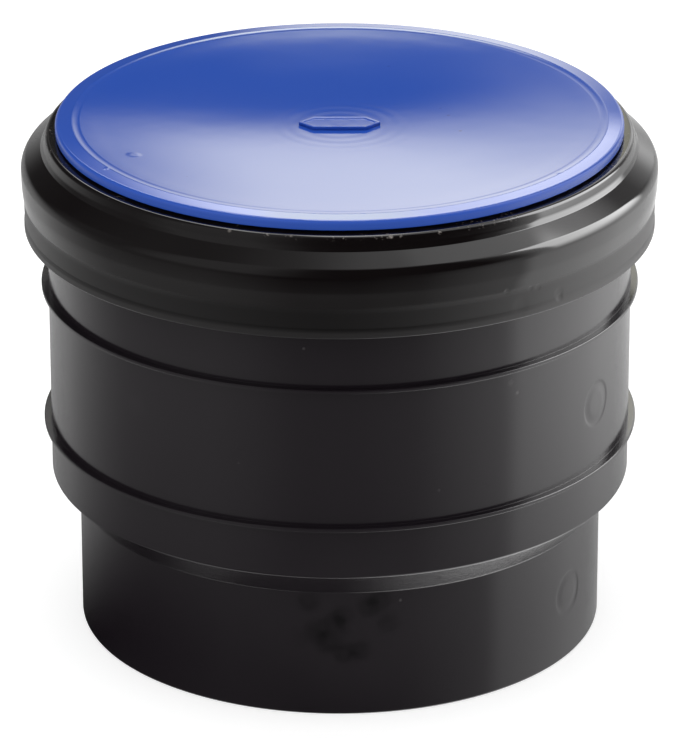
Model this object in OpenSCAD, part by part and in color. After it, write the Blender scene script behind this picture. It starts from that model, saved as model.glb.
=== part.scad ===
// Push-fit pipe socket with its blue protective end cap.
// Origin: centre of the spigot's cut end, +Z towards the cap. Millimetres.

/* [Pipe and spigot] */
// Outer diameter of the pipe, which is also the spigot's
pipe_d = 110; // [90:1:160]
// Wall of the spigot
spigot_wall = 4.2; // [3:0.1:6]
// Length of the plain spigot, from its cut end to the shoulder
spigot_len = 27.8; // [15:0.1:60]
// Chamfer on the spigot's cut end
spigot_chamfer = 0.4; // [0.2:0.1:1.5]

/* [Shoulder and barrel] */
// Radial play between the pipe and the socket's bore
pipe_play = 0.5; // [0.2:0.1:1]
// Wall of the barrel round the socket's bore
barrel_wall = 5.7; // [4:0.1:9]
// Height of the cone between the spigot and the barrel
shoulder_h = 6.8; // [4:0.1:20]
// Rounding of the barrel's lower edge
shoulder_round = 1.6; // [0.5:0.1:3]
// Length of the barrel that shows between the shoulder and the collar
barrel_len = 54; // [46:0.5:120]
// Width of the ledge that stops the pipe
stop_w = 2.4; // [1.5:0.1:3.5]
// Height of the ledge above the top of the shoulder
stop_up = 3.2; // [1:0.1:6]
// Chamfer that leads the pipe into the bore
lead_in = 1; // [0.5:0.1:1.5]

/* [Anchor ribs] */
// How far the two anchor ribs stand out of the barrel
rib_out = 2; // [1:0.1:4]
// Thickness of a rib at its tip
rib_tip = 0.9; // [0.6:0.1:1.5]
// Thickness of a rib at its root
rib_root = 1.6; // [1.5:0.1:3]
// Height of the lower rib above the shoulder
rib_up = 10.9; // [6:0.1:13]
// Distance between the two ribs
rib_pitch = 30.6; // [18:0.1:32]

/* [Insert marks] */
// Diameter of the round mould insert marks in the barrel and the spigot
mark_d = 9.6; // [5:0.1:12]
// Depth of the marks
mark_deep = 0.25; // [0.1:0.05:0.5]
// Width of the raised ring inside a mark
mark_ring = 0.7; // [0.4:0.1:1.2]
// Direction of the marks, counted from the front to the right
mark_turn = 60; // [0:5:350]
// How far the barrel's mark lies below the middle between the ribs
mark_low = 1.3; // [0:0.1:1.5]
// How far the spigot's mark lies above the middle of the spigot
mark_rise = 1; // [0:0.1:1.5]

/* [Snap bead] */
// How far the snap bead stands out of the barrel's upper end
bead_out = 2.2; // [1:0.1:2.5]
// Height of the snap bead
bead_h = 3.2; // [2:0.1:5]
// Length of the barrel's end above the snap bead
end_h = 0.6; // [0.2:0.1:1]
// Clearance of the pieces that are snapped together
snap_gap = 0.15; // [0.05:0.05:0.3]

/* [Retaining collar] */
// Wall of the collar round the snap bead
collar_wall = 2.6; // [2:0.1:6]
// Height of the hook that grips under the snap bead
hook_h = 3.4; // [3:0.1:6]
// Draft of the collar's outer face
collar_draft = 0.5; // [0:0.1:1]
// Height of the collar's outer face
collar_face_h = 12.9; // [12:0.1:25]
// Rounding between the outer face and the slope
collar_round = 2.6; // [1:0.1:3]
// Width of the slope between the outer face and the mouth lip
slope_w = 4.2; // [3:0.1:5]
// Height of the slope
slope_h = 4.5; // [3.5:0.1:8]
// Height of the mouth lip's upright wall
lip_h = 2.9; // [2:0.1:5]
// Rounding of the mouth lip's upper edge
lip_round = 1.3; // [0.5:0.1:1.8]
// Cove between the slope and the upright wall
cove = 0.4; // [0.2:0.1:0.6]
// Radial play between the pipe and the collar's mouth
mouth_play = 1.3; // [1:0.1:1.6]
// Chamfer of the mouth
mouth_chamfer = 1.4; // [0.5:0.1:1.8]
// Spacing of the fine steps round the collar's lower end
step_pitch = 2.1; // [1.5:0.1:2.5]
// Depth of a fine step
step_deep = 0.12; // [0.05:0.01:0.3]
// Depth of the groove above the collar's lower edge
groove_deep = 0.35; // [0.1:0.05:0.6]
// Chamfer of the collar's lower edge
edge = 0.3; // [0.1:0.1:0.6]

/* [Seal] */
// How far the seal chamber reaches out beyond the barrel's face
chamber_out = 0.45; // [0:0.05:1]
// Height of the seal
seal_h = 7.6; // [6:0.1:8.2]
// Width of the seal's back
seal_back = 2.6; // [2:0.1:3]
// Depth of the groove round the seal's back
seal_groove = 0.5; // [0.2:0.1:1]
// Thickness of the seal's lip
lip_t = 1.6; // [1:0.1:1.6]
// Height of the lip's sealing face
lip_face = 1.5; // [0.8:0.1:2]
// Height of the lip's tip above the seal's foot
lip_up = 1.9; // [1:0.1:2.5]
// Radial play between the pipe and the pressed-back lip
lip_play = 0.6; // [0.5:0.05:0.9]

/* [End cap] */
// How far the cap's rim stays inside the mouth lip's wall
cap_inset = 3.1; // [1:0.1:4]
// Height of the cap's flange at its rim
flange_t = 2.1; // [1.6:0.1:3.5]
// Rounding of the rim's upper edge
rim_round = 0.8; // [0.4:0.1:1]
// Gap between the flange and the collar's mouth lip
cap_gap = 0.3; // [0.2:0.05:0.5]
// Wall of the cap's web and skirt
cap_wall = 1.5; // [1:0.1:2]
// How far the skirt reaches into the socket
skirt_len = 13; // [9:0.1:13.5]
// Height of the taper at the skirt's end
skirt_lead = 1.5; // [0.5:0.1:3]
// Radial play between the pressed-back lip and the skirt
skirt_play = 0.4; // [0.2:0.05:1]
// Depth of the dish in the web
dish_deep = 1.85; // [0.5:0.05:2.2]
// Height of the raised ring's crest above the dish's edge
ring_up = 0.5; // [0.3:0.05:0.9]
// Width of the ring's land, from its crest to the rim
ring_land = 3.35; // [2:0.05:5]
// How far the land falls from its crest to the rim
ring_fall = 0.25; // [0.1:0.05:0.5]
// Width of the slope from the crest down to the dish
ring_foot = 1.9; // [1:0.1:2.5]
// Length of the lozenge plate at the centre
plate_len = 17; // [10:0.5:24]
// Width of the lozenge plate
plate_w = 6; // [4:0.1:9]
// Height of the lozenge plate
plate_t = 0.8; // [0.4:0.1:1.2]
// Width of the border round the bare plate
plate_border = 0.6; // [0.4:0.1:1]
// Depth of the plate's bare field below its border
plate_field = 0.25; // [0.1:0.05:0.35]

/* [Hidden] */
$fn = 144;
// Depth to which a rib or plate is sunk into what carries it
sunk = 0.7;
// Angle over which the barrel's lower edge is rounded
shoulder_turn = 40;

pipe_r = pipe_d / 2;
spigot_in = pipe_r - spigot_wall;
bore_r = pipe_r + pipe_play;
barrel_r = bore_r + barrel_wall;
barrel_z = spigot_len + shoulder_h;
stop_z = barrel_z + stop_up;
stop_r = bore_r - stop_w;
rib_low = barrel_z + rib_up;
collar_z = barrel_z + barrel_len;
bead_z = collar_z + hook_h + snap_gap;
bead_r = barrel_r + bead_out;
body_top = bead_z + bead_h + end_h;

collar_in = bead_r + snap_gap;
foot_r = collar_in + collar_wall;
collar_r = foot_r + collar_draft;
face_top = collar_z + collar_face_h;
slope_top = face_top + slope_h;
lip_wall_r = collar_r - slope_w;
collar_top = slope_top + lip_h;
mouth_r = pipe_r + mouth_play;
chamber_z = body_top + snap_gap;
chamber_r = barrel_r + chamber_out;
chamber_top = chamber_z + seal_h + snap_gap;

lip_r = pipe_r + lip_play;
skirt_r = lip_r - skirt_play;
cap_r = lip_wall_r - cap_inset;
cap_z = collar_top + cap_gap;
rim_z = cap_z + flange_t;
crest_r = cap_r - ring_land;
crest_z = rim_z + ring_fall;
dish_r = crest_r - ring_foot;
dish_edge = crest_z - ring_up;
dish_floor = dish_edge - dish_deep;

// Points on an arc about c, from angle a0 to a1, in n steps
function arc(c, r, a0, a1, n = 5) =
    [for (i = [0:n]) let (a = a0 + (a1 - a0) * i / n) c + r * [cos(a), sin(a)]];

// Points of a smooth rise or fall from p to q, without p itself
function ease(p, q, n = 5) =
    [for (i = [1:n]) let (t = i / n, up = (1 - cos(180 * t)) / 2)
        [p[0] + (q[0] - p[0]) * t, p[1] + (q[1] - p[1]) * up]];

// Points from radius r0 to r1 of a dish that sags to height z from an edge of radius r
function dish(r0, r1, r, z, deep, n = 10) =
    [for (i = [0:n]) let (x = r0 + (r1 - r0) * i / n, t = pow(x / r, 2))
        [x, z + deep * t * (4 - t) / 3]];

// One anchor rib with sloping sides, its lower root at height z
module rib(z) {
    slope = (rib_root - rib_tip) / 2;
    tip_r = barrel_r + rib_out;
    rotate_extrude()
        polygon([
            [barrel_r - sunk, z], [barrel_r, z], [tip_r, z + slope],
            [tip_r, z + slope + rib_tip], [barrel_r, z + rib_root], [barrel_r - sunk, z + rib_root]
        ]);
}

// Cutter of a round insert mark, with its raised ring, in a wall of radius r at height z
module insert_mark(r, z) {
    rotate([0, 0, mark_turn - 90])
        translate([0, 0, z])
            rotate([0, 90, 0])
                difference() {
                    translate([0, 0, r - mark_deep]) cylinder(d = mark_d, h = sunk);
                    difference() {
                        cylinder(d = mark_d - 2 * mark_ring, h = r);
                        cylinder(d = mark_d - 4 * mark_ring, h = r);
                    }
                }
}

// Spigot, shoulder, barrel with its anchor ribs, and the snap bead, moulded as one
module socket_body() {
    color([0.09, 0.085, 0.095])
        difference() {
            union() {
                rotate_extrude()
                    polygon(concat(
                        [
                            [spigot_in, 0], [pipe_r - spigot_chamfer, 0],
                            [pipe_r, spigot_chamfer], [pipe_r, spigot_len]
                        ],
                        arc([barrel_r - shoulder_round, barrel_z], shoulder_round, -shoulder_turn, 0),
                        [
                            [barrel_r, bead_z], [bead_r, bead_z], [bead_r, bead_z + bead_h / 2],
                            [barrel_r, bead_z + bead_h], [barrel_r, body_top], [bore_r + lead_in, body_top],
                            [bore_r, body_top - lead_in], [bore_r, stop_z], [stop_r, stop_z],
                            [stop_r, barrel_z], [spigot_in, barrel_z - shoulder_h / 2]
                        ]
                    ));
                for (i = [0, 1])
                    rib(rib_low + i * rib_pitch);
            }
            insert_mark(barrel_r, rib_low + rib_pitch / 2 - mark_low);
            insert_mark(pipe_r, spigot_len / 2 + mark_rise);
        }
}

// Collar that snaps over the barrel's bead, holds the seal and forms the mouth
module retaining_collar() {
    color([0.10, 0.09, 0.085])
        rotate_extrude()
            polygon(concat(
                [
                    [barrel_r + snap_gap, collar_z], [foot_r - edge, collar_z], [foot_r, collar_z + edge],
                    [foot_r, collar_z + step_pitch - groove_deep],
                    [foot_r - groove_deep, collar_z + step_pitch],
                    [foot_r - step_deep, collar_z + step_pitch + groove_deep],
                    [foot_r - step_deep, collar_z + 2 * step_pitch],
                    [foot_r, collar_z + 2 * step_pitch + step_deep],
                    [foot_r, collar_z + 3 * step_pitch],
                    [foot_r + step_deep, collar_z + 3 * step_pitch + step_deep]
                ],
                arc([collar_r - collar_round, face_top], collar_round, 0, atan(slope_w / slope_h)),
                [[lip_wall_r + cove, slope_top - cove], [lip_wall_r, slope_top + cove]],
                arc([lip_wall_r - lip_round, collar_top - lip_round], lip_round, 0, 90),
                [
                    [mouth_r + mouth_chamfer, collar_top], [mouth_r, collar_top - mouth_chamfer],
                    [mouth_r, chamber_top], [chamber_r, chamber_top], [chamber_r, chamber_z],
                    [collar_in, chamber_z], [collar_in, bead_z - snap_gap],
                    [barrel_r + snap_gap, bead_z - snap_gap - bead_out / 2]
                ]
            ));
}

// Rubber ring: a square back in the chamber, and a lip that leans inwards and down
module lip_seal() {
    back_r = chamber_r - snap_gap;
    back_in = back_r - seal_back;
    top_z = chamber_z + seal_h;
    mid_z = chamber_z + seal_h / 2;
    color([0.06, 0.06, 0.06])
        rotate_extrude()
            polygon([
                [back_in, chamber_z], [back_r, chamber_z], [back_r, mid_z - seal_groove],
                [back_r - seal_groove, mid_z], [back_r, mid_z + seal_groove], [back_r, top_z],
                [back_in - lip_t, top_z], [lip_r, chamber_z + lip_up + lip_face], [lip_r, chamber_z + lip_up],
                [lip_r + lip_t, chamber_z + lip_up + lip_t / 4], [back_in, top_z - lip_t]
            ]);
}

// Lozenge outline of the centre plate, smaller all round by the inset
module lozenge(inset = 0) {
    half_l = plate_len / 2 - inset * sqrt(2);
    half_w = plate_w / 2 - inset;
    polygon([
        [-half_l, 0], [-half_l + half_w, half_w], [half_l - half_w, half_w],
        [half_l, 0], [half_l - half_w, -half_w], [-half_l + half_w, -half_w]
    ]);
}

// Bare plate with a raised border, standing on the dish's floor
module centre_plate() {
    translate([0, 0, dish_floor - sunk])
        difference() {
            linear_extrude(sunk + plate_t) lozenge();
            translate([0, 0, sunk + plate_t - plate_field]) linear_extrude(sunk) lozenge(plate_border);
        }
}

// Dished web in a raised ring, a flange that covers the mouth and a skirt that plugs it
module end_cap() {
    skirt_in = skirt_r - cap_wall;
    skirt_z = cap_z - skirt_len;
    land_tilt = atan(ring_fall / (ring_land - rim_round));
    color([0.12, 0.22, 0.62]) {
        rotate_extrude()
            polygon(concat(
                dish(0, dish_r, dish_r, dish_floor, dish_deep),
                ease([dish_r, dish_edge], [crest_r, crest_z]),
                arc([cap_r - rim_round, rim_z - rim_round], rim_round, 90 - land_tilt, 0),
                [
                    [cap_r, cap_z], [skirt_r, cap_z], [skirt_r, skirt_z + skirt_lead],
                    [skirt_r - cap_wall / 2, skirt_z], [skirt_in, skirt_z], [skirt_in, cap_z - cap_wall]
                ],
                dish(skirt_in - cap_wall, 0, dish_r, dish_floor - cap_wall, dish_deep)
            ));
        centre_plate();
    }
}

socket_body();
retaining_collar();
lip_seal();
end_cap();
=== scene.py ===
import math

import bmesh
import bpy
from mathutils import Matrix, Vector


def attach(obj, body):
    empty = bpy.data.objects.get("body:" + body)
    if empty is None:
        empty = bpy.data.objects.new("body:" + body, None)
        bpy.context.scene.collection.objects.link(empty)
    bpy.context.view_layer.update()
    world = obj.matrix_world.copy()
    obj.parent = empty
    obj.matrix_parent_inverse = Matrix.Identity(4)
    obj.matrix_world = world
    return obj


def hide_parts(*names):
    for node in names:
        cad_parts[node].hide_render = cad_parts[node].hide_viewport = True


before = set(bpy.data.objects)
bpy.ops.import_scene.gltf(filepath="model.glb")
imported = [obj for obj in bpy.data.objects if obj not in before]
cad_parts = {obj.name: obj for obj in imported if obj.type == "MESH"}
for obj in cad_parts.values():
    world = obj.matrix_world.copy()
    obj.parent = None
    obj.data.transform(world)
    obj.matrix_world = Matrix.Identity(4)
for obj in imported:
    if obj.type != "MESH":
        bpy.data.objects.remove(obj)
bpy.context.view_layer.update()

# Camera: a long lens on a stand, a little above the fitting and looking down on its cap. The
# lens is shifted, so that its axis meets the picture a little above the middle.
AIM = Vector((0, 0, 0.055))
DISTANCE = 1.1951
ELEVATION = math.radians(22.947)
LEAN = math.radians(-0.05)
SENSOR = 36
PICTURE = 738
FOCAL_PX = 5626
AXIS_RIGHT_PX = 0.75
AXIS_DOWN_PX = -3.41
CLIP_END = 20
lens = bpy.data.cameras.new("camera")
lens.sensor_width = SENSOR
lens.lens = SENSOR * FOCAL_PX / PICTURE
lens.shift_x = -AXIS_RIGHT_PX / PICTURE
lens.shift_y = AXIS_DOWN_PX / PICTURE
lens.clip_end = CLIP_END
camera = bpy.data.objects.new("camera", lens)
back = Vector((0, -math.cos(ELEVATION), math.sin(ELEVATION)))
camera.matrix_world = (
    Matrix.Translation(AIM + DISTANCE * back)
    @ back.to_track_quat("Z", "Y").to_matrix().to_4x4()
    @ Matrix.Rotation(LEAN, 4, "Z")
)
bpy.context.scene.collection.objects.link(camera)
bpy.context.scene.camera = camera
bpy.context.scene.view_settings.view_transform = "Standard"


# Studio light: plain white all round for matt surfaces and for the camera. Gloss shows the
# room: bright walls on the right, a strip light behind and above, and little in front.
class Wire:
    """A socket in a node tree. Sums, differences and products of wires add Math nodes."""

    def __init__(self, tree, socket=None):
        self.tree = tree
        self.socket = socket

    def node(self, kind, settings, sockets, output=0):
        """Adds a node: first its settings, then a value or a wire for each socket it names."""
        made = self.tree.nodes.new(kind)
        for name, value in settings.items():
            if name != "stops":
                setattr(made, name, value)
                continue
            for place, shade in value[len(made.color_ramp.elements):]:
                made.color_ramp.elements.new(place)
            for stop, (place, shade) in zip(made.color_ramp.elements, value):
                stop.position = place
                stop.color = (shade, shade, shade, 1)
        for name, value in sockets.items():
            if isinstance(value, Wire):
                self.tree.links.new(value.socket, made.inputs[name])
            else:
                made.inputs[name].default_value = value
        return Wire(self.tree, made.outputs[output] if made.outputs else None)

    def math(self, operation, first, second=0.0):
        return self.node("ShaderNodeMath", {"operation": operation}, {0: first, 1: second})

    def __add__(self, other):
        return self.math("ADD", self, other)

    def __sub__(self, other):
        return self.math("SUBTRACT", self, other)

    def __rsub__(self, other):
        return self.math("SUBTRACT", other, self)

    def __mul__(self, other):
        return self.math("MULTIPLY", self, other)

    __radd__ = __add__
    __rmul__ = __mul__


def rise(wire, low, high):
    """A smooth step of the wire from 0 at low to 1 at high, which may be the smaller one."""
    return wire.node(
        "ShaderNodeMapRange",
        {"interpolation_type": "SMOOTHSTEP"},
        {"Value": wire, "From Min": low, "From Max": high},
        "Result",
    )


def parts_of(vector):
    """The three parts of a vector wire."""
    split = vector.node("ShaderNodeSeparateXYZ", {}, {0: vector})
    outputs = split.socket.node.outputs
    return [Wire(vector.tree, outputs[axis]) for axis in "XYZ"]


DEGREES = math.degrees(1)


def bearing(direction):
    """A direction's turn from the front towards the right and its height, both in degrees."""
    right, away, up = parts_of(direction)
    turn = direction.math("ARCTAN2", right, away * -1) * DEGREES
    height = direction.math("ARCSINE", up) * DEGREES
    return turn, height


BRIGHTEST = 4
# Brightness of the walls near and below the horizon, by the turn
LOW_ROOM = [
    (-180, 0.35), (-160, 0.45), (-136, 0.66), (-120, 0.5), (-108, 0.34), (-94, 0.2), (-76, 0.2),
    (-50, 0.22), (-34, 0.15), (-16, 0.02), (8, 0.02), (30, 0.12), (44, 0.38), (58, 0.64),
    (69, 0.8), (75, 1.8), (90, 2.0), (104, 2.0), (122, 1.75), (140, 1.1), (158, 0.8), (180, 0.75),
]
# Brightness of the walls well above the horizon, and the heights at which it takes over
HIGH_ROOM = [
    (-180, 0.02), (-172, 0.1), (-166, 0.2), (-156, 0.06), (-132, 0.04), (-108, 0.15),
    (-84, 0.15), (-66, 0.4), (-34, 0.4), (-12, 0.06), (0, 0.02),
    (54, 0.02), (66, 0.3), (76, 1.6), (104, 2.0), (116, 2.4), (124, 2.2), (130, 1.2), (135, 0.4),
    (142, 0.35), (150, 0.8), (157, 2.3), (166, 1.6), (174, 0.3), (180, 0.02),
]
HIGH_FROM = (-5, 15)
# Overhead the room is brighter on the right
CEILING_FROM = (62, 85)
CEILING_LEFT = 0.3
CEILING_MORE = 1.6
CEILING_SIDES = (-0.25, 0.45)
# The bright ground close by, which only faces that look down show, and not on the front left
GROUND_GLOW = 5.0
GROUND_FROM = (-36, -55)
GROUND_RIGHT = (0, 90)
GROUND_LEFT = (-60, -100)
# A strip light hangs behind and above: its glow, its lower edge, how far that drops towards
# either side, and the spread of its sides
BEHIND = (0.0, 0.3)
STRIP_GLOW = 5.6
STRIP_FOOT = (25.4, 29.8)
STRIP_DROP_LEFT = 3
STRIP_DROP_RIGHT = 7.2
DROP_SIDES = ((-0.05, -0.11), (0.05, 0.12))
STRIP_LEFT = (-0.13, -0.035)
STRIP_RIGHT = (0.2, 0.07)
# The lower middle of the strip is warm, so it has less blue
WARM = 1.7
WARM_TOP = (40, 33)
WARM_SIDES = (0.05, 0.025)
# The strip has a faint left end
END_GLOW = 4.0
END_SIDES = ((-0.35, -0.24), (-0.105, -0.15))
END_FOOT = (22, 36)

world = bpy.data.worlds.new("studio")
bpy.context.scene.world = world
world.use_nodes = True
world.node_tree.nodes.clear()
studio = Wire(world.node_tree)
direction = studio.node("ShaderNodeTexCoord", {}, {}, "Generated")
right, away, up = parts_of(direction)
turn, height = bearing(direction)


def room(stops):
    """The brightness of a band of the room, read round the horizon."""
    stops = [(0.5 + angle / 360, shade / BRIGHTEST) for angle, shade in stops]
    place = turn * (1 / 360) + 0.5
    return studio.node("ShaderNodeValToRGB", {"stops": stops}, {"Fac": place}) * BRIGHTEST


high = rise(height, *HIGH_FROM)
walls = room(LOW_ROOM) * (1 - high) + room(HIGH_ROOM) * high
overhead = rise(height, *CEILING_FROM)
ceiling = rise(right, *CEILING_SIDES) * CEILING_MORE + CEILING_LEFT
walls = walls * (1 - overhead) + overhead * ceiling
ground = rise(turn, *GROUND_RIGHT) + rise(turn, *GROUND_LEFT)
walls = walls + rise(height, *GROUND_FROM) * ground * GROUND_GLOW
end = rise(right, *END_SIDES[0]) * rise(right, *END_SIDES[1]) * rise(away, *BEHIND)
walls = walls + end * rise(height, *END_FOOT) * END_GLOW
drop = rise(right, *DROP_SIDES[0]) * STRIP_DROP_LEFT
drop = rise(right, *DROP_SIDES[1]) * STRIP_DROP_RIGHT + drop
strip = rise(height + drop, *STRIP_FOOT) * rise(right, *STRIP_LEFT) * rise(right, *STRIP_RIGHT)
strip = strip * rise(away, *BEHIND)
walls = walls * (1 - strip) + strip * STRIP_GLOW
warm = strip * rise(height, *WARM_TOP) * WARM
warm = warm * rise(studio.math("ABSOLUTE", right), *WARM_SIDES)
tint = studio.node(
    "ShaderNodeCombineColor", {}, {"Red": walls, "Green": walls, "Blue": walls - warm}
)
room_light = studio.node("ShaderNodeBackground", {}, {"Color": tint})
plain_white = studio.node("ShaderNodeBackground", {}, {"Color": (1, 1, 1, 1)})
glossy = studio.node("ShaderNodeLightPath", {}, {}, "Is Glossy Ray")
shown = studio.node("ShaderNodeMixShader", {}, {0: glossy, 1: plain_white, 2: room_light})
studio.node("ShaderNodeOutputWorld", {}, {"Surface": shown})


# Backdrop: a bright card that stands behind the fitting and shows only in its gloss. Its upper
# edge is sharp on the left and fades towards the right, where the card goes on upwards.
def new_look(name):
    """A material without nodes, the wire that adds them, and its Object coordinates."""
    look = bpy.data.materials.new(name)
    look.use_nodes = True
    look.node_tree.nodes.clear()
    paint = Wire(look.node_tree)
    return look, paint, paint.node("ShaderNodeTexCoord", {}, {}, "Object")


def set_up(name, sheet, look):
    """Stands a mesh of the studio round the fitting."""
    data = bpy.data.meshes.new(name)
    sheet.to_mesh(data)
    sheet.free()
    data.materials.append(look)
    prop = bpy.data.objects.new(name, data)
    bpy.context.scene.collection.objects.link(prop)
    return prop


def show_in_gloss_only(prop):
    """Hides a part of the studio from the camera and from matt surfaces."""
    prop.visible_camera = False
    prop.visible_diffuse = False
    prop.visible_shadow = False


CARD_BACK = 1.0
CARD_HALF = 0.8
CARD_COLOUR = (2.6, 2.55, 2.1, 1)
CARD_MORE = 0.25
CARD_MORE_SIDES = (-0.03, 0.08)
CARD_LEFT = (-0.075, -0.01)
CARD_SLANT = 0.4
SLANT_FROM = 0.44
CARD_RIGHT = (0.2, 0.08)
CARD_FOOT = (0.05, 0.4)
CARD_TOP = 0.4725
# Half of the fade at the upper edge: on the left, and how much wider it is on the right
TOP_FADE = 0.036
TOP_FADE_MORE = 0.064
TOP_FADE_SIDES = (-0.02, 0.06)
# Above that edge the card goes on, fainter
UPPER_SHARE = 0.4
UPPER_SIDES = (0.01, 0.09)

look, paint, spot = new_look("bright_card")
right, away, up = parts_of(spot)
fade = rise(right, *TOP_FADE_SIDES) * TOP_FADE_MORE + TOP_FADE
below = rise(up, fade + CARD_TOP, CARD_TOP - fade)
above = rise(right, *UPPER_SIDES) * UPPER_SHARE
slanted = right + paint.math("MAXIMUM", up - SLANT_FROM, 0) * CARD_SLANT
mask = rise(slanted, *CARD_LEFT) * rise(right, *CARD_RIGHT) * rise(up, *CARD_FOOT)
mask = mask * paint.math("MAXIMUM", below, above)
strength = rise(right, *CARD_MORE_SIDES) * CARD_MORE + 1
glow = paint.node("ShaderNodeEmission", {}, {"Color": CARD_COLOUR, "Strength": strength})
clear = paint.node("ShaderNodeBsdfTransparent", {}, {})
shown = paint.node("ShaderNodeMixShader", {}, {0: mask, 1: clear, 2: glow})
paint.node("ShaderNodeOutputMaterial", {}, {"Surface": shown})

sheet = bmesh.new()
bmesh.ops.create_grid(sheet, x_segments=1, y_segments=1, size=CARD_HALF)
bmesh.ops.rotate(sheet, verts=sheet.verts[:], matrix=Matrix.Rotation(math.pi / 2, 3, "X"))
bmesh.ops.translate(sheet, verts=sheet.verts[:], vec=(0, CARD_BACK, 0))
show_in_gloss_only(set_up("backdrop", sheet, look))

# Soft box: a lamp far out on the right that leans to the left at its top. Only the black
# pieces show it, because the level cap would look bleached from the left.
BOX_R = 30
BOX_GLOW = 8.0
BOX_SIDES = ((78, 82), (134, 129))
BOX_FOOT = (-8, 24)
BOX_TOP = (53, 48)
BOX_LEAN = 0.75
LEAN_FROM = 25

look, paint, spot = new_look("lamp_skin")
direction = paint.node("ShaderNodeVectorMath", {"operation": "NORMALIZE"}, {0: spot}, "Vector")
turn, height = bearing(direction)
lean = paint.math("MAXIMUM", height - LEAN_FROM, 0) * BOX_LEAN
mask = rise(turn, *BOX_SIDES[0]) * rise(turn + lean, *BOX_SIDES[1])
mask = mask * rise(height, *BOX_FOOT) * rise(height, *BOX_TOP)
glow = paint.node(
    "ShaderNodeEmission", {}, {"Color": (1, 1, 1, 1), "Strength": mask * BOX_GLOW}
)
clear = paint.node("ShaderNodeBsdfTransparent", {}, {})
shown = paint.node("ShaderNodeAddShader", {}, {0: clear, 1: glow})
paint.node("ShaderNodeOutputMaterial", {}, {"Surface": shown})

sheet = bmesh.new()
bmesh.ops.create_uvsphere(sheet, u_segments=48, v_segments=24, radius=BOX_R)
box = set_up("soft_box", sheet, look)
show_in_gloss_only(box)
lit_by_box = bpy.data.collections.new("lit_by_box")
box.light_linking.receiver_collection = lit_by_box

# Floor: a pale sheet that reads white away from the fitting and keeps its soft shadow. Gloss
# shows a faint table top with the room beyond it, and on it a painted shadow of the fitting:
# dim round the fitting and dark on its left.
FLOOR_HALF = 4
FLOOR_COLOUR = (0.8, 0.8, 0.8, 1)
FLOOR_LIFT = 0.5
TABLE_GLOW = 0.23
TABLE_EDGE = (0.31, 0.24)
# Painted shadow of the fitting on the table, seen only in gloss: dimmed all round, dark on its left
SHADOW_DIM = 0.55
SHADOW_DIM_REACH = (0.25, 0.05)
PAINTED_SHADOW = (0.01, 0.01, 0.01, 1)
SHADOW_PLACE = (-0.055, -0.02, 0)
SHADOW_REACH = (0.0, 0.085)

look, paint, spot = new_look("pale_floor")
span = paint.node(
    "ShaderNodeVectorMath", {"operation": "DISTANCE"}, {0: spot, 1: SHADOW_PLACE}, "Value"
)
reach = paint.node("ShaderNodeVectorMath", {"operation": "LENGTH"}, {0: spot}, "Value")
clear = paint.node("ShaderNodeBsdfTransparent", {}, {})
top = paint.node("ShaderNodeEmission", {}, {"Strength": rise(reach, *TABLE_EDGE) * TABLE_GLOW})
table = paint.node("ShaderNodeAddShader", {}, {0: clear, 1: top})
# Painted shadow: a dark matt sheet that gloss shows round the fitting, mostly on its left
shadow_sheet = paint.node("ShaderNodeBsdfDiffuse", {}, {"Color": PAINTED_SHADOW})
light = rise(span, *SHADOW_REACH) * (1 - rise(reach, *SHADOW_DIM_REACH) * SHADOW_DIM)
gloss_view = paint.node("ShaderNodeMixShader", {}, {0: light, 1: shadow_sheet, 2: table})
matt = paint.node("ShaderNodeBsdfDiffuse", {}, {"Color": FLOOR_COLOUR})
seen = paint.node("ShaderNodeLightPath", {}, {}, "Is Camera Ray")
glow = paint.node("ShaderNodeEmission", {}, {"Strength": seen * FLOOR_LIFT})
plain_view = paint.node("ShaderNodeAddShader", {}, {0: matt, 1: glow})
glossy = paint.node("ShaderNodeLightPath", {}, {}, "Is Glossy Ray")
shown = paint.node("ShaderNodeMixShader", {}, {0: glossy, 1: plain_view, 2: gloss_view})
paint.node("ShaderNodeOutputMaterial", {}, {"Surface": shown})

sheet = bmesh.new()
bmesh.ops.create_grid(sheet, x_segments=1, y_segments=1, size=FLOOR_HALF)
set_up("floor", sheet, look)


# Socket body: spigot, shoulder, barrel with two anchor ribs, and the snap bead at its end.
# One injection moulding of black polyolefin, with a fine satin finish and two round mould
# inserts showing on its right. It stands on the spigot's cut end.
MM = 0.001
TOUCH = 0.001 * MM
AROUND = 288
FLAT_WEIGHT = 60


def turned(corners, sections=4):
    """A ring turned from corners (radius, height, rounding) in millimetres."""
    ring = bmesh.new()
    points = [ring.verts.new((corner[0] * MM, 0, corner[1] * MM)) for corner in corners]
    ring.faces.new(points)
    places = [point.co.copy() for point in points]
    for i, point in enumerate(points):
        rounding = corners[i][2] * MM
        if rounding == 0:
            continue
        before = places[i] - places[i - 1]
        after = places[(i + 1) % len(places)] - places[i]
        bmesh.ops.bevel(
            ring,
            geom=[point],
            offset=rounding * math.tan(before.angle(after) / 2),
            segments=sections,
            profile=0.5,
            affect="VERTICES",
            material=-1,
        )
    bmesh.ops.delete(ring, geom=ring.faces[:], context="FACES_ONLY")
    bmesh.ops.spin(
        ring,
        geom=ring.verts[:] + ring.edges[:],
        axis=(0, 0, 1),
        cent=(0, 0, 0),
        angle=math.tau,
        steps=AROUND,
        use_merge=True,
    )
    bmesh.ops.remove_doubles(ring, verts=ring.verts[:], dist=5 * TOUCH)
    bmesh.ops.recalc_face_normals(ring, faces=ring.faces[:])
    return ring


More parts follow.
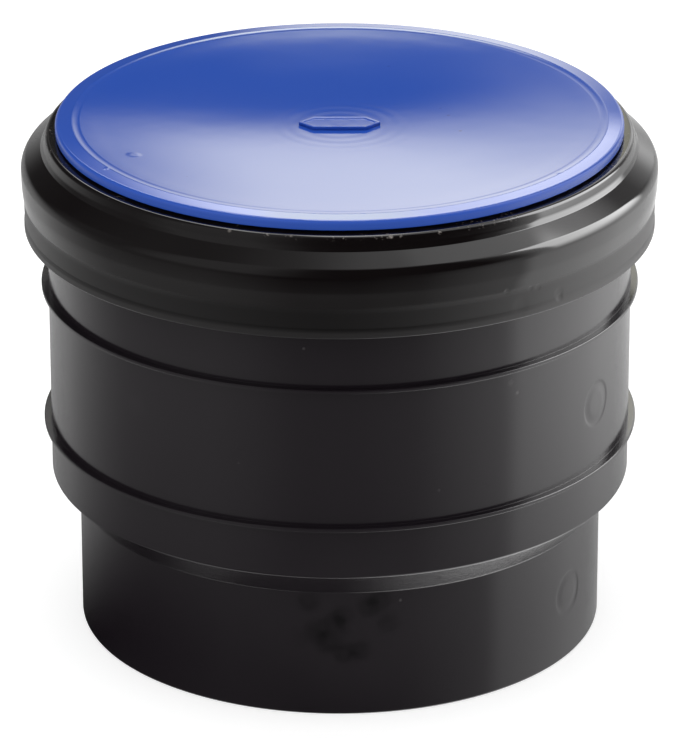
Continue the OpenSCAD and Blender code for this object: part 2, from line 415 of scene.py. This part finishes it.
def finished(name, mesh, look, body, node):
    """Makes a piece of a mesh, with smooth faces that keep their flats, and rides it."""
    data = bpy.data.meshes.new(name)
    mesh.to_mesh(data)
    mesh.free()
    data.shade_smooth()
    data.materials.append(look)
    piece = bpy.data.objects.new(name, data)
    bpy.context.scene.collection.objects.link(piece)
    flats = piece.modifiers.new("flats", "WEIGHTED_NORMAL")
    flats.mode = "FACE_AREA"
    flats.weight = FLAT_WEIGHT
    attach(piece, body)
    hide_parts(node)
    return piece


SPIGOT_R = 55.5
SPIGOT_IN = 50.8
SPIGOT_TOP = 27.8
BARREL_R = 61.35
SHOULDER_TOP = 33.95
SHOULDER_IN = (31.2, 34.6)
RIB_OUT = 1.5
RIBS = (44.5, 75.05)
BEAD_Z = 92.15
BEAD_R = 63.4
BODY_TOP = 95.95
BORE_R = 55.5
LEDGE_R = 53.1
LEDGE_Z = 37.8
# Insert marks: radius, sunk depth and its edge, and the low dome in the middle
MARK_R = 4.8
MARK_SUNK = 0.16
MARK_EDGE = 0.5
DOME_R = 3.2
DOME_HIGH = 0.12
DOME_EDGE = 1.8
MARK_TURN = math.radians(60)
MARKS = ((SPIGOT_R, 14.9), (BARREL_R, 59.5))
# Half the band of wall that is split up for a mark, the field of fine faces in it, and how
# far the mark's own surface may reach
MARK_BAND = 6
MARK_FIELD = 6.5
MARK_REACH = 8
SKIN = 0.5


def rib(z):
    """Corners of an anchor rib, a thin flange with a level top, from its lower root up."""
    tip = BARREL_R + RIB_OUT
    return [
        (BARREL_R, z, 0.3), (tip, z + 0.2, 0.2), (tip, z + 1, 0.22), (BARREL_R, z + 1.02, 0.05)
    ]


def mark_band(r, z):
    """Two points that keep a narrow band of the wall for a round mark at height z."""
    return [(r, z - MARK_BAND, 0), (r, z + MARK_BAND, 0)]


def inside(span, edge, width):
    """A smooth fall from 1 within an edge to 0 beyond it."""
    part = min(max((span - edge) / width + 0.5, 0), 1)
    return 1 - part * part * (3 - 2 * part)


socket = turned(
    [(SPIGOT_IN, 0, 0.2), (SPIGOT_R, 0, 0.5)]
    + mark_band(*MARKS[0])
    + [(SPIGOT_R, SPIGOT_TOP, 0.5), (BARREL_R, SHOULDER_TOP, 0.9)]
    + rib(RIBS[0])
    + mark_band(*MARKS[1])
    + rib(RIBS[1])
    + [
        (BARREL_R, BEAD_Z, 0.2), (BEAD_R, BEAD_Z, 0.2), (BEAD_R, BEAD_Z + 1.6, 0.5),
        (BARREL_R, BEAD_Z + 3.2, 0.3), (BARREL_R, BODY_TOP, 0.2), (BORE_R + 1, BODY_TOP, 0.2),
        (BORE_R, BODY_TOP - 1, 0.5), (BORE_R, LEDGE_Z, 0.3), (LEDGE_R, LEDGE_Z, 0.3),
        (LEDGE_R, SHOULDER_IN[1], 1), (SPIGOT_IN, SHOULDER_IN[0], 1),
    ],
)
for wall_r, mark_z in MARKS:
    rows = [
        edge for edge in socket.edges
        if abs(edge.verts[0].co.z + edge.verts[1].co.z - 2 * mark_z * MM) < TOUCH
        and abs(edge.verts[0].co.xy.length - wall_r * MM) < 10 * TOUCH
    ]
    bmesh.ops.subdivide_edges(socket, edges=rows, cuts=8, use_grid_fill=True)
    centre = Vector((math.sin(MARK_TURN), -math.cos(MARK_TURN), 0)) * wall_r * MM
    centre.z = mark_z * MM
    near = [
        face for face in socket.faces
        if (face.calc_center_median() - centre).length < MARK_FIELD * MM
        and face.calc_center_median().xy.length > (wall_r - SKIN) * MM
    ]
    near_edges = list({edge for face in near for edge in face.edges})
    bmesh.ops.subdivide_edges(socket, edges=near_edges, cuts=5, use_grid_fill=True)
    for point in socket.verts:
        flat = point.co.xy
        if (point.co - centre).length > MARK_REACH * MM or flat.length < (wall_r - SKIN) * MM:
            continue
        along = wall_r * (math.atan2(flat.x, -flat.y) - MARK_TURN)
        span = math.hypot(along, point.co.z / MM - mark_z)
        dome = DOME_HIGH * inside(span, DOME_R, DOME_EDGE)
        sunk = MARK_SUNK * inside(span, MARK_R, MARK_EDGE)
        point.co.xy = flat.normalized() * (wall_r + (dome - sunk)) * MM


def noise(spot, scale, detail):
    """Soft noise over a surface, finer where the scale is larger."""
    return spot.node("ShaderNodeTexNoise", {}, {"Vector": spot, "Scale": scale, "Detail": detail})


def patches(spot, places):
    """The sum of soft round patches (x, y, z, radius, strength), all in millimetres."""
    total = 0.0
    for x, y, z, radius, strength in places:
        place = (x * MM, y * MM, z * MM)
        span = spot.node(
            "ShaderNodeVectorMath", {"operation": "DISTANCE"}, {0: spot, 1: place}, "Value"
        )
        total = rise(span, radius * MM, radius * MM * 0.3) * strength + total
    return total


def blend(mask, first, second):
    """A colour that turns from the first to the second where the mask is 1."""
    return mask.node("ShaderNodeMix", {"data_type": "RGBA"}, {0: mask, 6: first, 7: second}, 2)


def bump(height, strength, distance):
    """Fine relief from a height that changes over the surface."""
    return height.node(
        "ShaderNodeBump", {}, {"Strength": strength, "Distance": distance, "Height": height}
    )


def cover(paint, tone, shine, **relief):
    """Ends a look in the skin of a solid plastic or rubber."""
    skin = paint.node(
        "ShaderNodeBsdfPrincipled",
        {},
        {"Base Color": tone, "Roughness": shine, "IOR": 1.5, **relief},
    )
    paint.node("ShaderNodeOutputMaterial", {}, {"Surface": skin})


BLACK = (0.0092, 0.0067, 0.0092, 1)
BLACK_WORN = (0.0114, 0.0087, 0.0114, 1)
# Pale specks of dust on the walls
DUST = (0.075, 0.07, 0.072, 1)
SPECKS = [
    (-7.2, -60.8, 84.5, 0.45, 0.5), (36.0, -49.5, 70.0, 0.6, 0.7), (12.4, -53.9, 25.5, 0.5, 0.6),
    (34.6, -50.5, 72.6, 0.9, 0.25), (-20.5, -57.7, 58.0, 0.3, 0.3), (20.1, -57.8, 52.0, 0.5, 0.25),
]
# Faintly dusty places: rubbed spots, the discs of the two insert marks and the spigot's front
SMUDGE_DUST = 0.12
SMUDGES = [
    (35.5, -49.8, 74.0, 4.5, 0.4), (-41.5, -45.0, 65.5, 3.2, 0.3), (48.5, -25.8, 14.8, 3.4, 0.8),
    (52.8, -30.9, 59.5, 3.2, 0.6), (46.0, -30.1, 11.6, 1.2, 1.6), (50.7, -34.3, 56.6, 1.1, 1.6),
    (5.0, -55.3, 22.0, 26.0, 0.5),
]
# Dark greasy blots on the front of the spigot
GREASE = (0.0018, 0.001, 0.0018, 1)
BLOTS = [
    (-2.8, -55.4, 16.6, 3.6, 0.55), (-4.6, -55.3, 19.2, 3.8, 0.45), (-1.1, -55.5, 21.2, 3.5, 0.4),
    (0.7, -55.5, 22.7, 3.2, 0.4), (0.0, -55.5, 19.3, 3.2, 0.25), (0.9, -55.5, 14.3, 3.4, 0.55),
    (4.2, -55.3, 14.6, 3.4, 0.4), (8.1, -54.9, 26.0, 3.8, 0.5), (6.0, -55.2, 24.5, 3.4, 0.45),
    (9.9, -54.6, 20.8, 3.2, 0.4), (-6.4, -55.1, 25.7, 3.4, 0.4), (-8.0, -54.9, 17.8, 3.4, 0.15),
]
# Flow lines run up the walls, so their pattern is stretched along z
DRAWN = (1, 1, 0.02)

satin, paint, spot = new_look("satin_black")
cloud = noise(spot, 45.0, 4.0)
tone = blend(cloud, BLACK, BLACK_WORN)
dusty = patches(spot, SMUDGES) * SMUDGE_DUST + patches(spot, SPECKS)
tone = blend(dusty, tone, DUST)
greasy = patches(spot, BLOTS) * (noise(spot, 380.0, 2.0) * 1.8 + 0.1)
tone = blend(greasy, tone, GREASE)
drawn = paint.node("ShaderNodeVectorMath", {"operation": "MULTIPLY"}, {0: spot, 1: DRAWN})
streak = noise(drawn, 420.0, 2.0)
wave = noise(spot, 70.0, 1.0)
grain = noise(spot, 2600.0, 2.0)
relief = bump(grain + streak * 1.6 + wave * 6.0, 0.12, 0.00003)
cover(paint, tone, cloud * 0.06 + 0.15, Normal=relief)
piece = finished("moulded_socket", socket, satin, "socket", "socket_body")
lit_by_box.objects.link(piece)

# Retaining collar: the ring that snaps over the socket's bead, keeps the rubber seal in its
# chamber and forms the mouth. Injection moulded, glossier and browner than the socket.
COLLAR_Z = 88.6
FOOT_R = 66.15
FOOT_IN = 61.35
FACE_R = 66.65
LIP_R = 62.45
LIP_TOP = 108.75
MOUTH_R = 56.3
CHAMBER_R = 61.65
CHAMBER = (96.1, 103.85)
HOOK_R = 63.55
HOOK = (90.9, 92)

collar = turned(
    [
        (FOOT_IN, COLLAR_Z, 0.2), (FOOT_R, COLLAR_Z, 0.3), (FOOT_R, 89.9, 2), (66.02, 90.8, 1),
        (66.12, 94.6, 10), (66.27, 95.6, 10), (66.52, 97.8, 20), (FACE_R, 102.72, 2.7),
        (LIP_R, 105.9, 0.3), (LIP_R - 0.55, 106.82, 2), (LIP_R - 1.15, LIP_TOP, 1),
        (MOUTH_R + 1.4, LIP_TOP, 0.3), (MOUTH_R, LIP_TOP - 1.4, 0.3), (MOUTH_R, CHAMBER[1], 0.2),
        (CHAMBER_R, CHAMBER[1], 0.2), (CHAMBER_R, CHAMBER[0], 0.2), (HOOK_R, CHAMBER[0], 0.2),
        (HOOK_R, HOOK[1], 0.2), (FOOT_IN, HOOK[0], 0.2),
    ],
    sections=6,
)

BROWN_BLACK = (0.0042, 0.003, 0.0032, 1)
# The foot is scuffed, and the face is duller up to the shiny round
SCUFFED = (0.016, 0.0145, 0.015, 1)
SCUFF_Z = (0.0908, 0.0896)
SATIN_Z = (0.0957, 0.0947)
# Painted glints on the lip under the cap: pale specks for light caught by its rough edge,
# fine patches all round and single ones at the front
PAINTED_GLINT = (0.3, 0.27, 0.25, 1)
GLINT_Z = (0.1077, 0.1084)
GLINT_SHARE = 0.35
GLINT_SPOTS = [
    (-14.6, -59.7, 108.6, 0.7, 0.6), (-1.5, -61.4, 108.7, 0.6, 0.9), (1.0, -61.3, 108.5, 0.5, 0.7),
    (8.4, -60.9, 108.7, 0.5, 0.8), (10.2, -60.6, 108.6, 0.7, 0.8), (12.2, -60.2, 108.6, 0.5, 0.6),
    (20.0, -58.1, 108.5, 0.6, 0.7), (-7.5, -61.0, 108.7, 0.4, 0.5), (-22.0, -57.3, 108.6, 0.6, 0.4),
]
# Small dents on the right of the face, and a ragged foot
DENTS = [
    (44.5, -49.3, 91.6, 1.6, 1.0), (44.6, -49.1, 90.6, 1.2, 1.0), (36.6, -55.4, 91.3, 2.4, 0.7),
    (40.0, -52.9, 94.4, 1.0, 0.5), (38.4, -54.0, 94.6, 0.8, 0.5), (33.6, -57.2, 95.2, 0.9, 0.6),
]
RAGGED_Z = (0.0915, 0.0885)

gloss, paint, spot = new_look("gloss_black")
up = parts_of(spot)[2]
tone = blend(rise(up, *SCUFF_Z), BROWN_BLACK, SCUFFED)
fine = noise(spot, 1500.0, 2.0)
glint_patches = rise(noise(spot, 150.0, 1.0), 0.5, 0.62)
# Painted glints of the lip's rough edge, put into its colour as pale specks
glints = rise(fine, 0.58, 0.68) * glint_patches * rise(up, *GLINT_Z) * GLINT_SHARE
glints = patches(spot, GLINT_SPOTS) * rise(fine, 0.4, 0.55) + glints
tone = blend(glints, tone, PAINTED_GLINT)
shine = noise(spot, 60.0, 3.0) * 0.04 + rise(up, *SATIN_Z) * 0.3 + 0.07
ragged = noise(spot, 260.0, 2.0) * rise(up, *RAGGED_Z)
relief = bump(patches(spot, DENTS) * -3.0 + ragged * 1.5, 0.2, 0.00008)
cover(paint, tone, shine, Normal=relief)
piece = finished("snap_collar", collar, gloss, "socket", "retaining_collar")
lit_by_box.objects.link(piece)

# Lip seal: a ring of black rubber in the collar's chamber, with a square back and a lip that
# leans inwards and down. It shows only once the cap is off.
SEAL_R = 61.5
SEAL_Z = (96.1, 103.7)
SEAL_NECK = 58.9
LIP_IN = 55.6

seal = turned(
    [
        (SEAL_NECK, SEAL_Z[0], 0.3), (SEAL_R, SEAL_Z[0], 0.3), (SEAL_R, 99.4, 0.2),
        (SEAL_R - 0.5, 99.9, 0.2), (SEAL_R, 100.4, 0.2), (SEAL_R, SEAL_Z[1], 0.3),
        (57.3, SEAL_Z[1], 0.4), (LIP_IN, 99.5, 0.4), (LIP_IN, 98, 0.4), (57.2, 98.4, 0.3),
        (SEAL_NECK, 102.1, 0.3),
    ],
)

RUBBER = (0.012, 0.012, 0.012, 1)

rubber, paint, spot = new_look("rubber")
cover(paint, RUBBER, noise(spot, 300.0, 3.0) * 0.15 + 0.5)
piece = finished("rubber_seal", seal, rubber, "socket", "lip_seal")
lit_by_box.objects.link(piece)

# End cap: a thin plug of blue polyethylene that keeps dirt out of the socket. Moulded as one:
# a dished web in a raised ring, a flange that covers the mouth, a skirt that plugs it, and a
# bare lozenge plate at the centre.
CAP_R = 59.35
CAP_Z = 109.2
CREST_R = 56
CREST_Z = 111.55
CREST_IN = 0.3
CREST_DIP = 0.02
LAND_SLOPE = 0.098
DISH_R = 54.1
DISH_FLOOR = 109.46
DISH_DEEP = 1.85
DISH_CURL = 0.12
SKIRT_R = 55.2
SKIRT_Z = 96.2
WALL = 1.5


def dish(r0, r1, floor, steps=18):
    """Points of the dished web from one radius to the other, without the last one."""
    radii = [r0 + (r1 - r0) * i / steps for i in range(steps)]
    spans = [(r / DISH_R) ** 2 for r in radii]
    return [
        (r, floor + DISH_DEEP * t * (4 - t) / 3 + DISH_CURL * t ** 6, 0)
        for r, t in zip(radii, spans)
    ]


def swell(r0, z0, r1, z1, steps=8):
    """Points of a rise that starts level and grows steeper, without the last one."""
    return [
        (r0 + (r1 - r0) * i / steps, z0 + (z1 - z0) * (1 - math.cos(math.pi / 2 * i / steps)), 0)
        for i in range(steps)
    ]


cap = turned(
    dish(0, DISH_R, DISH_FLOOR)
    + swell(DISH_R, DISH_FLOOR + DISH_DEEP + DISH_CURL, CREST_R - CREST_IN, CREST_Z - CREST_DIP)
    + [
        (CREST_R - CREST_IN, CREST_Z - CREST_DIP, 0), (CREST_R, CREST_Z, 1.5),
        (CAP_R, CREST_Z - LAND_SLOPE * (CAP_R - CREST_R), 0.8),
        (CAP_R, CAP_Z, 0.2), (SKIRT_R, CAP_Z, 0.2),
        (SKIRT_R, SKIRT_Z + WALL, 0.5), (SKIRT_R - WALL / 2, SKIRT_Z, 0.2),
        (SKIRT_R - WALL, SKIRT_Z, 0.2), (SKIRT_R - WALL, CAP_Z - WALL, 0.3),
    ]
    + dish(SKIRT_R - 2 * WALL, 0, DISH_FLOOR - WALL, 10)
    + [(0, DISH_FLOOR - WALL, 0)],
    sections=6,
)

PLATE_L = 17
PLATE_W = 6
PLATE_T = 0.8
PLATE_SUNK = 0.5
PLATE_BORDER = 0.6
PLATE_STEP = 0.2
PLATE_FIELD = 0.25
PLATE_ROUND = 0.12

plate = bmesh.new()
half_l = PLATE_L / 2 * MM
half_w = PLATE_W / 2 * MM
outline = [
    (-half_l, 0), (half_w - half_l, -half_w), (half_l - half_w, -half_w),
    (half_l, 0), (half_l - half_w, half_w), (half_w - half_l, half_w),
]
foot_z = (DISH_FLOOR - PLATE_SUNK) * MM
base = plate.faces.new([plate.verts.new((x, y, foot_z)) for x, y in outline])
raised = bmesh.ops.extrude_face_region(plate, geom=[base])["geom"]
corners = [part for part in raised if isinstance(part, bmesh.types.BMVert)]
bmesh.ops.translate(plate, verts=corners, vec=(0, 0, (PLATE_SUNK + PLATE_T) * MM))
field = [part for part in raised if isinstance(part, bmesh.types.BMFace)]
bmesh.ops.inset_region(plate, faces=field, thickness=PLATE_BORDER * MM, use_even_offset=True)
bmesh.ops.inset_region(
    plate,
    faces=field,
    thickness=PLATE_STEP * MM,
    depth=-PLATE_FIELD * MM,
    use_even_offset=True,
)
rims = [
    edge for edge in plate.edges
    if min(corner.co.z for corner in edge.verts) > foot_z + PLATE_SUNK * MM
]
bmesh.ops.bevel(
    plate,
    geom=rims,
    offset=PLATE_ROUND * MM,
    segments=3,
    profile=0.5,
    affect="EDGES",
    material=-1,
)
bmesh.ops.recalc_face_normals(plate, faces=plate.faces[:])
plate_mesh = bpy.data.meshes.new("plate")
plate.to_mesh(plate_mesh)
plate.free()
cap.from_mesh(plate_mesh)
bpy.data.meshes.remove(plate_mesh)

BLUE = (0.024, 0.088, 0.47, 1)
# The outer edge is less shiny than the rest
RIM_R = (0.0589, 0.0593)
RIM_DULL = 0.2
DARK_BLUE = (0.008, 0.035, 0.25, 1)
CAP_SPECKS = [
    (25.1, -4.8, 110.0, 0.55, 0.9), (22.8, 4.7, 109.9, 0.6, 0.6), (21.2, 9.0, 109.9, 0.45, 0.4),
    (10.5, 33.5, 110.6, 0.6, 0.4), (-31.0, -33.5, 110.8, 0.4, 0.4),
]
PIPS = [
    (-42.2, -21.3, 110.9, 1.9, 0.4), (-47.5, -30.5, 111.4, 0.8, 0.6), (44.5, -33.0, 111.4, 0.7, 0.5)
]
# Fine rings round the plate, where the blue was injected
RING_RATE = 2100
RING_REACH = (0.019, 0.01)

blue, paint, spot = new_look("blue_cap")
level = paint.node("ShaderNodeVectorMath", {"operation": "MULTIPLY"}, {0: spot, 1: (1, 1, 0)})
reach = paint.node("ShaderNodeVectorMath", {"operation": "LENGTH"}, {0: level}, "Value")
tone = blend(patches(spot, CAP_SPECKS), BLUE, DARK_BLUE)
shine = noise(spot, 60.0, 3.0) * 0.02 + rise(reach, *RIM_R) * RIM_DULL + 0.06
rings = paint.math("SINE", reach * RING_RATE) * rise(reach, *RING_REACH)
flow = noise(spot, 90.0, 2.0)
relief = bump(patches(spot, PIPS) * 5.0 + flow * 1.3 + rings * 0.15, 0.2, 0.00005)
cover(paint, tone, shine, Normal=relief)
finished("blue_cap", cap, blue, "cap", "end_cap")
